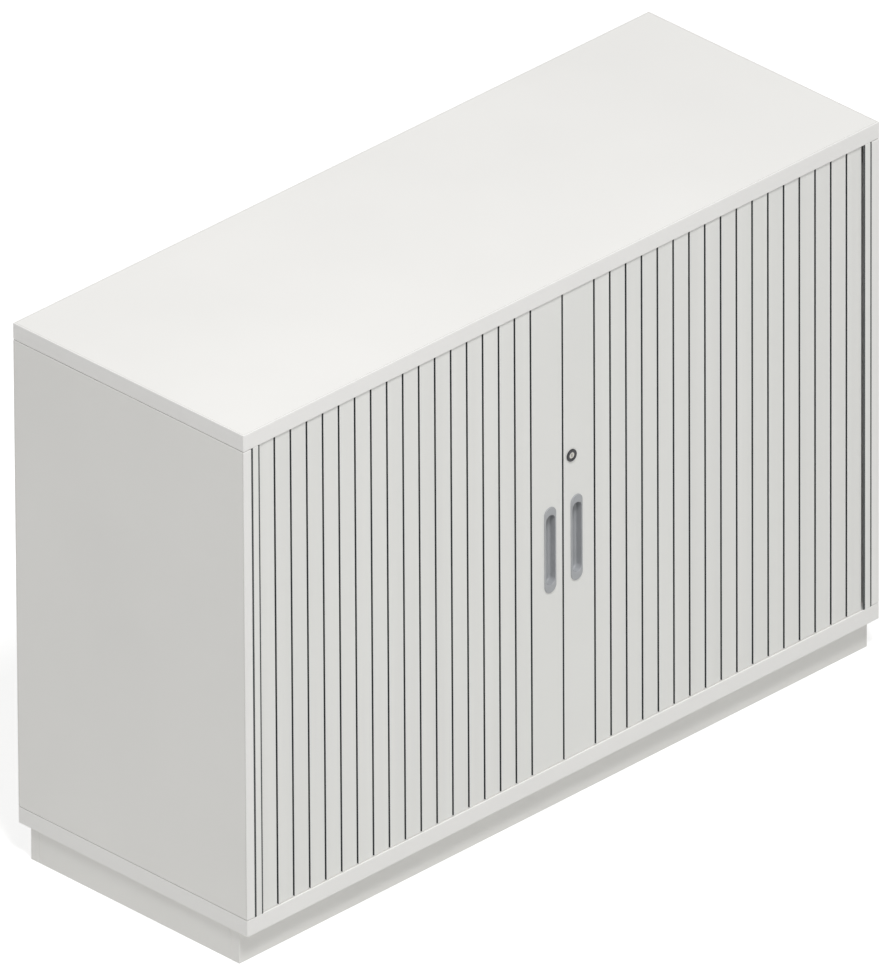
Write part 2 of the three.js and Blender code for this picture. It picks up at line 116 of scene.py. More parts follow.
class CabinetSizes(bpy.types.PropertyGroup):
    """Sizes of the edges, bands and fittings that the frame leaves out."""

    band_radius: length_prop("Banded edge radius", "Rounding of the banded board edges", 1.0)
    cut_radius: length_prop("Cut edge radius", "Break on the edges of the plinth boards", 0.5)
    joint_gap: length_prop("Board joint", "Gap that shows at each end of a side panel", 0.7)
    band_thickness: length_prop("Edge band", "Thickness of the band on the board edges", 2.0)
    glue_line: length_prop("Glue line", "Width of the joint between band and board", 0.3)
    fine_radius: length_prop("Fine edge", "Break on the edges of small parts", 0.3)
    # From this depth behind the front, the flanks of a slat or stile take charcoal painted shade
    painted_shade_depth: length_prop("Hinge lip", "Depth behind the face where a slat turns soft", 0.25)
    # The soft upright edges of a lead stile are charcoal painted shade, this wide and this deep
    stile_shade_width: length_prop("Stile seal", "Width of the soft edges of a lead stile", 1.6)
    stile_shade_depth: length_prop("Stile seal depth", "How deep those edges go behind the face", 3.0)
    jamb_radius: length_prop("Jamb edge", "Rounding of the jamb's edges", 0.7)
    # The charcoal along each edge of a jamb is painted shade of the gaps beside it, this wide and
    # this deep
    jamb_shade_width: length_prop("Jamb lip", "Width of the soft lip along each edge of a jamb", 2.8)
    jamb_shade_thickness: length_prop("Jamb lip depth", "How deep that lip goes behind the face", 0.8)
    pull_side_land: length_prop("Pull side land", "Flange beside the mouth of a pull", 2.2)
    pull_end_land: length_prop("Pull end land", "Flange above and below the mouth of a pull", 12.0)
    pull_flange: length_prop("Pull flange", "Thickness of the flange of a pull", 1.6)
    pull_wall: length_prop("Pull wall", "Thickness of the walls of a pull's cup", 1.2)
    pull_depth: length_prop("Pull depth", "From the back of the flange to that of the cup", 11.1)
    peg_diameter: length_prop("Pull peg", "Diameter of the two pegs behind a pull", 5.0)
    peg_length: length_prop("Peg length", "How far the pegs stand out behind the flange", 8.1)
    peg_inset: length_prop("Peg inset", "From the end of the flange to the middle of a peg", 5.4)
    pull_floor_radius: length_prop("Pull floor radius", "Rounds the floor of the cup", 3.0)
    pull_rim_radius: length_prop("Pull rim radius", "Rounds the flange and the mouth", 0.7)
    bezel_thickness: length_prop("Lock bezel", "Thickness of the lock's bezel", 2.2)
    bezel_chamfer: length_prop("Bezel chamfer", "Chamfer round the bezel", 0.8)
    bezel_rim: length_prop("Bezel rim", "Flat ring between the chamfer and the dish", 1.6)
    bezel_dish: length_prop("Bezel dish", "Depth of the dish round the plug", 0.5)
    barrel_diameter: length_prop("Lock barrel", "Diameter of the barrel behind the bezel", 15.0)
    bore_diameter: length_prop("Lock bore", "Diameter of the bore that takes the plug", 9.6)
    key_slot_length: length_prop("Key slot", "Length of the key slot", 6.0)
    key_slot_width: length_prop("Key slot width", "Width of the key slot", 1.4)
    key_slot_depth: length_prop("Key slot depth", "Depth of the key slot", 5.0)
    tail_length: length_prop("Plug tail", "Length of the square tail behind the plug", 3.6)
    tail_side: length_prop("Tail side", "Side of the square tail", 5.0)
    rail_thickness: length_prop("Rail thickness", "Thickness of the shelf rails", 1.5)
    screw_head: length_prop("Screw head", "Diameter of the screw heads", 6.6)
    screw_rise: length_prop("Screw rise", "How far a screw head stands out", 0.8)
    screw_pitch: length_prop("Screw pitch", "Largest distance between two screws", 170.0)
    screw_end: length_prop("Screw end", "From the end of a row to its first screw", 30.0)
    bevel_steps: bpy.props.IntProperty(
        name="Edge steps", description="Facets across a rounded edge", default=3, min=1, max=8,
    )
    fine_steps: bpy.props.IntProperty(
        name="Fine edge steps", description="Facets across a broken edge", default=2, min=1, max=8,
    )
    round_steps: bpy.props.IntProperty(
        name="Round steps", description="Facets round a turned piece", default=64, min=12, max=128,
    )


class CabinetColours(bpy.types.PropertyGroup):
    """Colours of the finishes."""

    board: colour_prop("Board", "Melamine face of the boards", "#F0EFEC")
    band: colour_prop("Edge band", "ABS band on the board edges", "#F2F1EF")
    glue: colour_prop("Glue line", "Hot-melt glue behind the edge band", "#B9B4A8")
    slat: colour_prop("Slats", "Extruded slats and lead stiles", "#ECECE9")
    # Charcoal painted shade: in the grooves between slats, on the stiles' upright edges and the
    # jambs' edges
    painted_shade_lip: colour_prop("Hinge lips", "Soft lips between the slats", "#35383A")
    pin: colour_prop("Pins", "Acetal of the pins and tongues", "#E3E2DA")
    pull: colour_prop("Pulls", "Moulded cups of the pulls", "#ABADB0")
    metal: colour_prop("Lock plug", "Satin nickel of the plug", "#C2C0BA")
    bezel: colour_prop("Lock bezel", "Black nickel of the barrel and its bezel", "#4B4B4D")
    zinc: colour_prop("Zinc", "Zinc plate of hook, strike and screws", "#C0C4C7")
    aluminium: colour_prop("Aluminium", "Extruded shelf rails", "#D5D7D9")
    floor: colour_prop("Floor", "Studio floor", "#D2D2D0")
    seen_floor: colour_prop("Seen floor", "Paint of the floor as the camera sees it", "#D2D2D1")


def sizes():
    return bpy.context.scene.cabinet_sizes


def colours():
    return bpy.context.scene.cabinet_colours


# Materials

# Sizes of the patterns, in millimetres
PEARL_GRAIN = 1.4  # real pearl texture is about 0.5, which is too fine to show
TONE_PATCH = 260.0
DIE_LINE = 0.9  # spacing of the faint lines that the extrusion die leaves
DIE_LINE_LENGTH = 240.0
SPARK_GRAIN = 0.7  # eroded texture of the mould
BRUSH_LINE = 0.25
BLACK_CLOUD = 2.5
ZINC_SPANGLE = 1.6
FIBRE_LENGTH = 2.2
ORANGE_PEEL = 3.0
ACETAL_CLOUD = 6.0
WORN_PATCH = 18.0
FLOOR_PATCH = 900.0
NOISE_LOW, NOISE_HIGH = 0.3, 0.7  # where the values of a noise mostly lie


def add_node(tree, kind, inputs=None, **settings):
    """Adds a node, with settings for its properties and values or links for its inputs."""
    node = tree.nodes.new("ShaderNode" + kind)
    for name, value in settings.items():
        setattr(node, name, value)
    for socket, value in (inputs or {}).items():
        if isinstance(value, bpy.types.NodeSocket):
            tree.links.new(value, node.inputs[socket])
        else:
            node.inputs[socket].default_value = value
    return node


def start_material(name, **constants):
    """A material with its Principled shader, and the object's own coordinates to draw patterns
    on."""
    material = bpy.data.materials.new(name)
    material.use_nodes = True
    tree = material.node_tree
    shader = tree.nodes["Principled BSDF"]
    for socket, value in constants.items():
        shader.inputs[socket.replace("_", " ")].default_value = value
    place = add_node(tree, "TexCoord").outputs["Object"]
    return material, tree, shader, place


def noise(tree, place, size_mm, detail=2.0, stretch=(1, 1, 1)):
    """Noise whose features are size_mm wide, and longer along an axis with a stretch over 1."""
    scale = tuple(1 / (size_mm * MM * s) for s in stretch)
    mapped = add_node(tree, "Mapping", {"Vector": place, "Scale": scale}).outputs["Vector"]
    texture = add_node(tree, "TexNoise", {"Vector": mapped, "Scale": 1.0, "Detail": detail})
    return texture.outputs["Fac"]


def spread(tree, factor, low, high):
    """The values of a noise, spread over low to high."""
    node = add_node(tree, "MapRange", {
        "Value": factor, "From Min": NOISE_LOW, "From Max": NOISE_HIGH,
        "To Min": low, "To Max": high,
    })
    return node.outputs["Result"]


def tinted(tree, colour, factor, depth):
    """The colour, darkened by up to depth where factor is low."""
    dark = (*(c * (1 - depth) for c in colour[:3]), 1.0)
    mixed = add_node(tree, "Mix", {
        0: spread(tree, factor, 0.0, 1.0), 6: dark, 7: tuple(colour),
    }, data_type="RGBA")
    return mixed.outputs[2]


def paint(tree, shader, colour, patches, depth):
    """Colours the shader, darker by up to depth in patches."""
    tree.links.new(tinted(tree, colour, patches, depth), shader.inputs["Base Color"])


def roughen(tree, shader, pattern, low, high):
    """Lets the shader's roughness follow the pattern, from low to high."""
    tree.links.new(spread(tree, pattern, low, high), shader.inputs["Roughness"])


def raise_surface(tree, shader, height, distance_mm, strength):
    """Raises the surface by up to distance_mm where height is high."""
    bump = add_node(tree, "Bump", {
        "Height": height, "Distance": distance_mm * MM, "Strength": strength,
    })
    tree.links.new(bump.outputs["Normal"], shader.inputs["Normal"])


def melamine_board():
    """White melamine-faced chipboard with a pressed pearl texture: soft matt, with a fine grain in
    its highlights and a barely clouded white."""
    material, tree, shader, place = start_material("melamine_faced_chipboard", IOR=1.52)
    cloud = noise(tree, place, TONE_PATCH)
    grain = noise(tree, place, PEARL_GRAIN, detail=3.0)
    paint(tree, shader, colours().board, cloud, 0.03)
    roughen(tree, shader, grain, 0.42, 0.56)
    raise_surface(tree, shader, grain, 0.02, 0.5)
    return material


def abs_edge_band():
    """ABS edge band, scraped and buffed after gluing: a touch glossier than the board, with faint
    scraper lines along it."""
    material, tree, shader, place = start_material("abs_edge_band", IOR=1.53)
    scrape = noise(tree, place, DIE_LINE, detail=1.0, stretch=(1, 1, 60))
    paint(tree, shader, colours().band, noise(tree, place, TONE_PATCH), 0.02)
    roughen(tree, shader, scrape, 0.3, 0.42)
    return material


def glue_line():
    """Hot-melt glue in the joint of the edge band: a hair of warm grey."""
    material, tree, shader, place = start_material("hot_melt_glue_line", Roughness=0.6)
    paint(tree, shader, colours().glue, noise(tree, place, FIBRE_LENGTH), 0.25)
    return material


def extruded_slat():
    """Extruded PVC slat: satin, with faint die lines along its length, and each slat a hair
    lighter or darker than the next."""
    material, tree, shader, place = start_material("extruded_pvc_slat", IOR=1.54)
    lines = noise(tree, place, DIE_LINE, stretch=(1, 1, DIE_LINE_LENGTH))
    patch = noise(tree, place, TONE_PATCH, stretch=(0.12, 1, 8))
    paint(tree, shader, colours().slat, patch, 0.045)
    roughen(tree, shader, lines, 0.34, 0.46)
    raise_surface(tree, shader, lines, 0.03, 0.35)
    return material


def soft_hinge_painted_shade():
    """Soft PVC, extruded in one with the slat as its hinge lips: nearly matt, with the die's lines
    along it. The lips are real in form, but their charcoal is painted shade: it darkens the
    grooves between the slats, the upright edges of the lead stiles and the edges of the jambs."""
    material, tree, shader, place = start_material("soft_pvc_hinge_painted_shade", IOR=1.5)
    lines = noise(tree, place, DIE_LINE, stretch=(1, 1, DIE_LINE_LENGTH))
    paint(tree, shader, colours().painted_shade_lip, lines, 0.15)
    roughen(tree, shader, lines, 0.55, 0.7)
    return material


def acetal_pin():
    """Natural acetal of the pins and tongues that run in the track: milky and waxy."""
    material, tree, shader, place = start_material(
        "moulded_acetal", IOR=1.48, Roughness=0.35, Subsurface_Weight=0.1, Subsurface_Scale=0.002)
    paint(tree, shader, colours().pin, noise(tree, place, ACETAL_CLOUD), 0.06)
    return material


def wrapped_stile():
    """Fibreboard stile wrapped in the slats' foil: the same white, with the soft orange peel that
    the wrapping leaves."""
    material, tree, shader, place = start_material("foil_wrapped_fibreboard", IOR=1.52)
    peel = noise(tree, place, ORANGE_PEEL, stretch=(1, 1, 2.5))
    paint(tree, shader, colours().slat, noise(tree, place, TONE_PATCH), 0.03)
    roughen(tree, shader, peel, 0.36, 0.46)
    raise_surface(tree, shader, peel, 0.03, 0.4)
    return material


def moulded_pull():
    """Moulded ABS with a spark-eroded texture: matt grey with a fine even grain, rubbed a little
    smoother where fingers touch it."""
    material, tree, shader, place = start_material("moulded_abs_pull", IOR=1.53)
    grain = noise(tree, place, SPARK_GRAIN)
    wear = noise(tree, place, WORN_PATCH)
    rough = add_node(tree, "Math", {
        0: spread(tree, grain, 0.44, 0.58), 1: spread(tree, wear, -0.06, 0.04),
    }, operation="ADD").outputs["Value"]
    paint(tree, shader, colours().pull, wear, 0.08)
    tree.links.new(rough, shader.inputs["Roughness"])
    raise_surface(tree, shader, grain, 0.03, 0.5)
    return material


def satin_nickel():
    """Satin nickel plate on the turned lock: warm grey metal with fine brush lines."""
    material, tree, shader, place = start_material("satin_nickel_plate", Metallic=1.0)
    lines = noise(tree, place, BRUSH_LINE, stretch=(30, 1, 1))
    paint(tree, shader, colours().metal, lines, 0.1)
    roughen(tree, shader, lines, 0.24, 0.36)
    return material


def black_nickel():
    """Black nickel plate on the lock's barrel and bezel: a dark metal with a soft even shine."""
    material, tree, shader, place = start_material("black_nickel_plate", Metallic=1.0)
    cloud = noise(tree, place, BLACK_CLOUD, detail=3.0)
    paint(tree, shader, colours().bezel, cloud, 0.12)
    roughen(tree, shader, cloud, 0.28, 0.38)
    return material


def zinc_plate():
    """Zinc-plated steel: cool grey with a mottled, slightly cloudy gloss."""
    material, tree, shader, place = start_material("zinc_plated_steel", Metallic=1.0)
    mottle = noise(tree, place, ZINC_SPANGLE, detail=3.0)
    paint(tree, shader, colours().zinc, mottle, 0.14)
    roughen(tree, shader, mottle, 0.3, 0.48)
    return material


def mill_aluminium():
    """Mill-finish extruded aluminium: pale metal with drawn lines along its length."""
    material, tree, shader, place = start_material("mill_aluminium", Metallic=1.0)
    drawn = noise(tree, place, DIE_LINE, stretch=(1, 200, 1))
    paint(tree, shader, colours().aluminium, drawn, 0.08)
    roughen(tree, shader, drawn, 0.32, 0.46)
    return material


def painted_hardboard():
    """White-painted hardboard of the backs: flat paint over a faint felt of wood fibres."""
    material, tree, shader, place = start_material("painted_hardboard", IOR=1.5)
    fibres = noise(tree, place, FIBRE_LENGTH, detail=4.0)
    paint(tree, shader, colours().board, noise(tree, place, TONE_PATCH), 0.04)
    roughen(tree, shader, fibres, 0.5, 0.66)
    raise_surface(tree, shader, fibres, 0.04, 0.5)
    return material


MATERIALS = {}


def finish(recipe):
    """The material that a recipe makes, made once."""
    if recipe.__name__ not in MATERIALS:
        MATERIALS[recipe.__name__] = recipe()
    return MATERIALS[recipe.__name__]


# Mesh helpers

def mesh_copy(node):
    """The CAD node's mesh as a bmesh, with its triangles merged into flat faces."""
    bm = bmesh.new()
    bm.from_mesh(frame["nodes"][node].data)
    bmesh.ops.remove_doubles(bm, verts=bm.verts, dist=MERGE_WITHIN)
    bmesh.ops.dissolve_limit(
        bm, angle_limit=FLAT_WITHIN, verts=bm.verts, edges=bm.edges,
        use_dissolve_boundaries=False, delimit=set(),
    )
    return bm


def new_object(name, bm, recipes):
    """A finished mesh object in the scene, with weighted normals over its rounded edges."""
    mesh = bpy.data.meshes.new(name)
    bm.normal_update()
    bm.to_mesh(mesh)
    bm.free()
    for recipe in recipes:
        mesh.materials.append(finish(recipe))
    mesh.shade_smooth()
    mesh.set_sharp_from_angle(angle=SMOOTH_BELOW)
    piece = bpy.data.objects.new(name, mesh)
    bpy.context.scene.collection.objects.link(piece)
    weighted = piece.modifiers.new("even normals", "WEIGHTED_NORMAL")
    weighted.keep_sharp = True
    return piece


def stand_for(piece, node):
    """The piece takes the node's place and body: the node is hidden, and the piece moves with its
    body.
    """
    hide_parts(node)
    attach(piece, BODY_OF[node])


def belong_to(piece, node):
    """The piece is a small fitting on the node: it moves with it and hides nothing."""
    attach(piece, BODY_OF[node])


def bevel(bm, edges, radius, steps):
    """Rounds the edges."""
    bmesh.ops.bevel(
        bm, geom=edges, offset=radius, offset_type="OFFSET", segments=steps,
        profile=0.5, affect="EDGES", material=-1, clamp_overlap=True,
    )


def break_edges(bm):
    """Rounds every sharp edge a little."""
    sharp = [e for e in bm.edges if e.is_manifold and e.calc_face_angle() > SHARP_FROM]
    bevel(bm, sharp, sizes().fine_radius, sizes().fine_steps)


def in_plane(edge, axis, place):
    """True for an edge that lies in the plane where the coordinate of that axis has that value."""
    return all(abs(vert.co[axis] - place) < NEAR for vert in edge.verts)


def outer_edges(bm, low, high):
    """The edges that lie on two faces of the box from low to high."""
    walls = [(axis, corner[axis]) for axis in (X, Y, Z) for corner in (low, high)]
    return [e for e in bm.edges if sum(in_plane(e, *wall) for wall in walls) >= 2]


def cut_at(bm, axis, place):
    """Splits the faces along the plane where the coordinate of that axis has that value."""
    normal = Vector((0, 0, 0))
    normal[axis] = 1
    geometry = bm.verts[:] + bm.edges[:] + bm.faces[:]
    bmesh.ops.bisect_plane(
        bm, geom=geometry, dist=CUT_TOLERANCE, plane_co=normal * place, plane_no=normal,
    )


def outline(bm, length, width, y, steps):
    """The edges of an outline seen from the front, with half-round upper and lower ends, at the
    depth y. It is a circle where length and width are alike."""
    upright = Matrix.Rotation(math.radians(90), 4, "X") @ Matrix.Rotation(math.pi / steps, 4, "Z")
    made = bmesh.ops.create_circle(
        bm, cap_ends=False, segments=steps, radius=width / 2, matrix=upright,
    )
    reach = Vector((0, 0, (length - width) / 2))
    for vert in made["verts"]:
        vert.co += reach if vert.co.z > 0 else -reach
        vert.co.y = y
    return edges_at(made["verts"])


def edges_at(verts):
    """The edges that end at the verts, each once and in the same order every time."""
    return list(dict.fromkeys(edge for vert in verts for edge in vert.link_edges))


def corners_of(edges):
    """The verts at the ends of the edges, each once and in the same order every time."""
    return list(dict.fromkeys(vert for edge in edges for vert in edge.verts))


def loft(bm, centre, outlines, steps, through=False):
    """A closed body through outlines of (length, width, y), about the centre's X and Z. Its ends
    are capped, or joined to each other where the body is open through. Returns the edges of each
    outline."""
    loops = [outline(bm, length, width, number * MM, steps)
             for number, (length, width, _) in enumerate(outlines)]
    pairs = list(zip(loops, loops[1:]))
    if through:
        pairs.append((loops[-1], loops[0]))
    for first, second in pairs:
        bmesh.ops.bridge_loops(bm, edges=first + second)
    if not through:
        for loop in (loops[0], loops[-1]):
            bmesh.ops.edgeloop_fill(bm, edges=loop)
    # Joined one behind the other, the outlines can now share a plane without a twist
    for loop, (_, _, y) in zip(loops, outlines):
        for vert in corners_of(loop):
            vert.co = Vector((vert.co.x + centre[X], y, vert.co.z + centre[Z]))
    bm.normal_update()
    bmesh.ops.recalc_face_normals(bm, faces=bm.faces)
    return loops


# A screw head as shares of its width and rise, outside in
HEAD_PROFILE = ((1.0, 0.0), (1.0, 1 / 3), (0.75, 1.0), (0.55, 1.0), (0.4, 1 / 6))
HEAD_STEPS = 16
CROSS_WAIST = 0.4  # how far in the recess reaches between the arms of its cross


def screw_heads(name, node, places, facing):
    """Low heads with a cross recess at the places on the node, facing away from its surface."""
    width, rise = sizes().screw_head, sizes().screw_rise
    profile = [(share * width, share * width, height * rise) for share, height in HEAD_PROFILE]
    bm = bmesh.new()
    for place in places:
        head = bmesh.new()
        recess_mouth, recess_floor = loft(head, (0, 0, 0), profile, HEAD_STEPS)[-2:]
        for vert in corners_of(recess_mouth + recess_floor):
            x, y, z = vert.co
            between_arms = abs(x * x - z * z) < 0.5 * (x * x + z * z)
            if between_arms:
                vert.co = Vector((CROSS_WAIST * x, y, CROSS_WAIST * z))
        turn = Vector((0, 1, 0)).rotation_difference(Vector(facing)).to_matrix().to_4x4()
        bmesh.ops.transform(head, matrix=Matrix.Translation(place) @ turn, verts=head.verts)
        mesh = bpy.data.meshes.new("head")
        head.to_mesh(mesh)
        head.free()
        bm.from_mesh(mesh)
        bpy.data.meshes.remove(mesh)
    belong_to(new_object(name, bm, (zinc_plate,)), node)


def row(low, high, end, pitch):
    """Evenly spaced places between low and high, end away from both and at most pitch apart."""
    gaps = max(1, math.ceil((high - low - 2 * end) / pitch))
    return [low + end + (high - low - 2 * end) * number / gaps
            for number in range(gaps + 1)]


def middle_of(node):
    """The middle of the node's box."""
    low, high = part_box(node)
    return (low + high) / 2


# Boards

BOARD, BAND, GLUE, TRACK = range(4)  # TRACK is the groove for the pins, lined with the slats' PVC
FRONT_ONLY = ((Y, -1),)
FRONT_AND_BACK = ((Y, -1), (Y, 1))
ALL_ROUND = ((X, -1), (X, 1), (Y, -1), (Y, 1))


def banded_board(node, banded, jointed=False):
    """A board with its edge bands. banded lists (axis, end) of the edges that carry one, where end
    is -1 for the low side and 1 for the high side. A jointed board stops short of the boards below
    and above it, so that the joint shows as a line."""
    low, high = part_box(node)
    bm = mesh_copy(node)
    band = sizes().band_thickness
    line = sizes().glue_line
    sides = [(axis, end, (high if end > 0 else low)[axis]) for axis, end in banded]
    planes = [(axis, place) for axis, _, place in sides]
    if jointed:
        low.z, high.z = low.z + sizes().joint_gap, high.z - sizes().joint_gap
        planes += [(Z, low.z), (Z, high.z)]
        for vert in bm.verts:
            vert.co.z = min(max(vert.co.z, low.z), high.z)
    outer = set(outer_edges(bm, low, high))
    rounded = [edge for edge in bm.edges
               if edge in outer or any(in_plane(edge, axis, place) for axis, place in planes)]
    bevel(bm, rounded, sizes().band_radius, sizes().bevel_steps)
    for axis, end, place in sides:
        cut_at(bm, axis, place - end * band)
        cut_at(bm, axis, place - end * (band + line))
    for face in bm.faces:
        middle = face.calc_center_median()
        depth = min(end * (place - middle[axis]) for axis, end, place in sides)
        if depth < band:
            face.material_index = BAND
        elif depth < band + line:
            face.material_index = GLUE
        elif banded == ALL_ROUND and low.z + band < middle.z < high.z - band:
            face.material_index = TRACK
    recipes = (melamine_board, abs_edge_band, glue_line, extruded_slat)
    stand_for(new_object(node + "_board", bm, recipes), node)


class CABINET_OT_boards(bpy.types.Operator):
    """Top, base, sides, liners and shelf as melamine boards with edge bands"""

    bl_idname = "cabinet.boards"
    bl_label = "Banded boards"

    def execute(self, context):
        banded_board("top_panel", ALL_ROUND)
        banded_board("base_panel", ALL_ROUND)
        banded_board("shelf", FRONT_ONLY)
        for side in SIDES:
            banded_board(f"{side}_side_panel", FRONT_AND_BACK, jointed=True)
            banded_board(f"{side}_liner", FRONT_ONLY)
        return {"FINISHED"}


class CABINET_OT_plinth(bpy.types.Operator):
    """The four plinth boards, with their edges broken"""

    bl_idname = "cabinet.plinth"
    bl_label = "Plinth"

    def execute(self, context):
        for node in ("plinth_front", "plinth_back", "plinth_left", "plinth_right"):
            bm = mesh_copy(node)
            bevel(bm, bm.edges[:], sizes().cut_radius, sizes().bevel_steps)
            stand_for(new_object(node + "_board", bm, (melamine_board,)), node)
        return {"FINISHED"}


class CABINET_OT_backs(bpy.types.Operator):
    """Back panel and inner back of painted hardboard"""

    bl_idname = "cabinet.backs"
    bl_label = "Backs"

    def execute(self, context):
        for node in ("back_panel", "inner_back"):
            bm = mesh_copy(node)
            bevel(bm, bm.edges[:], sizes().fine_radius, sizes().bevel_steps)
            stand_for(new_object(node + "_sheet", bm, (painted_hardboard,)), node)
        low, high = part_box("back_panel")
        inner_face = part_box("left_side_panel")[1].x
        for side, edge, inner in (("left", low.x, inner_face), ("right", high.x, -inner_face)):
            places = [((edge + inner) / 2, high.y, z)
                      for z in row(low.z, high.z, sizes().screw_end, sizes().screw_pitch)]
            screw_heads(f"{side}_back_screws", "back_panel", places, (0, 1, 0))
        return {"FINISHED"}


# The second slot of a slat is charcoal painted shade on its flanks, in the grooves between slats
SLAT_BODY, SLAT_PAINTED_SHADE, SLAT_PIN = range(3)
ENDWAYS, BACKWARDS = 0.5, 0.9  # a face with more Z, or Y, in its normal faces an end, or the back


def opening():
    """The heights between which the curtains show. Their pins and tongues reach past them."""
    low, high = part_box("left_jamb")
    return low.z, high.z


def is_painted_shade(face, low):
    """True for a face on the soft edges of a slat or stile, which begin just behind its front: the
    faces whose charcoal paints the shade of the grooves.
    """
    behind = face.calc_center_median().y > low.y + sizes().painted_shade_depth
    return behind and abs(face.normal.z) < ENDWAYS and face.normal.y < BACKWARDS


class CABINET_OT_slats(bpy.types.Operator):
    """The slats of both curtains, with soft hinge lips between them whose charcoal paints the
    shade in the grooves, and a pin at each end
    """

    bl_idname = "cabinet.slats"
    bl_label = "Slats"

    def execute(self, context):
        door_low, door_high = opening()
        for node in sorted(name for name in frame["nodes"] if "_slat_" in name):
            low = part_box(node)[0]
            bm = mesh_copy(node)
            for face in bm.faces:
                if not door_low < face.calc_center_median().z < door_high:
                    face.material_index = SLAT_PIN
                elif is_painted_shade(face, low):
                    # Flanks behind the front get charcoal: painted shade in the grooves
                    face.material_index = SLAT_PAINTED_SHADE
            recipes = (extruded_slat, soft_hinge_painted_shade, acetal_pin)
            stand_for(new_object(node + "_profile", bm, recipes), node)
        return {"FINISHED"}


JAMB_STRIP, JAMB_PAINTED_SHADE = range(2)


class CABINET_OT_jambs(bpy.types.Operator):
    """The angle strips that cover the mouths of the pockets, with a soft charcoal edging along
    both edges that paints the shade of the gaps beside them
    """

    bl_idname = "cabinet.jambs"
    bl_label = "Jambs"

    def execute(self, context):
        for side in SIDES:
            node = f"{side}_jamb"
            bm = mesh_copy(node)
            bevel(bm, bm.edges[:], sizes().jamb_radius, sizes().bevel_steps)
            low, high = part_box(node)
            jamb_shade_back = low.y + sizes().jamb_shade_thickness
            jamb_shade_ends = (low.x + sizes().jamb_shade_width, high.x - sizes().jamb_shade_width)
            cut_at(bm, Y, jamb_shade_back)
            for place in jamb_shade_ends:
                cut_at(bm, X, place)
            for face in bm.faces:
                middle = face.calc_center_median()
                # Faces near the front and near either edge get charcoal: painted shade of the gaps
                if middle.y < jamb_shade_back and not jamb_shade_ends[0] < middle.x < jamb_shade_ends[1]:
                    face.material_index = JAMB_PAINTED_SHADE
            stand_for(new_object(node + "_strip", bm, (extruded_slat, soft_hinge_painted_shade)), node)
        return {"FINISHED"}


STILE_BODY, STILE_TONGUE, STILE_PAINTED_SHADE = range(3)


class CABINET_OT_lead_stiles(bpy.types.Operator):
    """The wide stile at the front of each curtain, with its tongues in the track and soft upright
    edges, whose charcoal paints the shade of the meeting line and of the groove to the next slat"""

    bl_idname = "cabinet.lead_stiles"
    bl_label = "Lead stiles"

    def execute(self, context):
        door_low, door_high = opening()
        for side in SIDES:
            node = f"{side}_lead_stile"
            low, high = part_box(node)
            stile_shade_ends = (low.x + sizes().stile_shade_width, high.x - sizes().stile_shade_width)
            stile_shade_back = low.y + sizes().stile_shade_depth
            bm = mesh_copy(node)
            cut_at(bm, Y, stile_shade_back)
            for face in bm.faces:
                middle = face.calc_center_median()
                if not door_low < middle.z < door_high:
                    face.material_index = STILE_TONGUE
                elif stile_shade_ends[0] < middle.x < stile_shade_ends[1] or middle.y > stile_shade_back:
                    face.material_index = STILE_BODY
                # Upright edges near the front get charcoal: painted shade at the meeting line and
                # the next groove
                elif is_painted_shade(face, low):
                    face.material_index = STILE_PAINTED_SHADE
            recipes = (wrapped_stile, acetal_pin, soft_hinge_painted_shade)
            stand_for(new_object(node + "_blank", bm, recipes), node)
        return {"FINISHED"}


class CABINET_OT_pulls(bpy.types.Operator):
    """The recessed cup in each lead stile: flange, mouth, rounded floor and two pegs behind"""

    bl_idname = "cabinet.pulls"
    bl_label = "Pulls"

    def execute(self, context):
        size = sizes()
        for side in SIDES:
            node = f"{side}_pull"
            low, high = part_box(node)
            centre = middle_of(node)
            flange = (high.z - low.z, high.x - low.x)
            mouth = (flange[0] - 2 * size.pull_end_land, flange[1] - 2 * size.pull_side_land)
            cup = (mouth[0] + 2 * size.pull_wall, mouth[1] + 2 * size.pull_wall)
            flange_back = low.y + size.pull_flange
            cup_back = flange_back + size.pull_depth
            bm = bmesh.new()
            cup_end, _, _, front_edge, mouth_edge, floor_edge = loft(bm, centre, (
                (*cup, cup_back), (*cup, flange_back), (*flange, flange_back),
                (*flange, low.y), (*mouth, low.y), (*mouth, cup_back - size.pull_wall),
            ), size.round_steps)
            bevel(bm, front_edge, size.pull_rim_radius, size.bevel_steps)
            bevel(bm, mouth_edge, size.pull_rim_radius, size.bevel_steps)
            bevel(bm, floor_edge, size.pull_floor_radius, 2 * size.bevel_steps)
            bevel(bm, cup_end, size.pull_floor_radius + size.pull_wall, 2 * size.bevel_steps)
            for z in (low.z + size.peg_inset, high.z - size.peg_inset):
                peg = (size.peg_diameter, size.peg_diameter)
                peg_end = loft(bm, (centre.x, 0, z), (
                    (*peg, flange_back), (*peg, flange_back + size.peg_length),
                ), size.round_steps // 2)[1]
                bevel(bm, peg_end, size.fine_radius, CHAMFER)
            bmesh.ops.recalc_face_normals(bm, faces=bm.faces)
            stand_for(new_object(node + "_cup", bm, (moulded_pull,)), node)
        return {"FINISHED"}


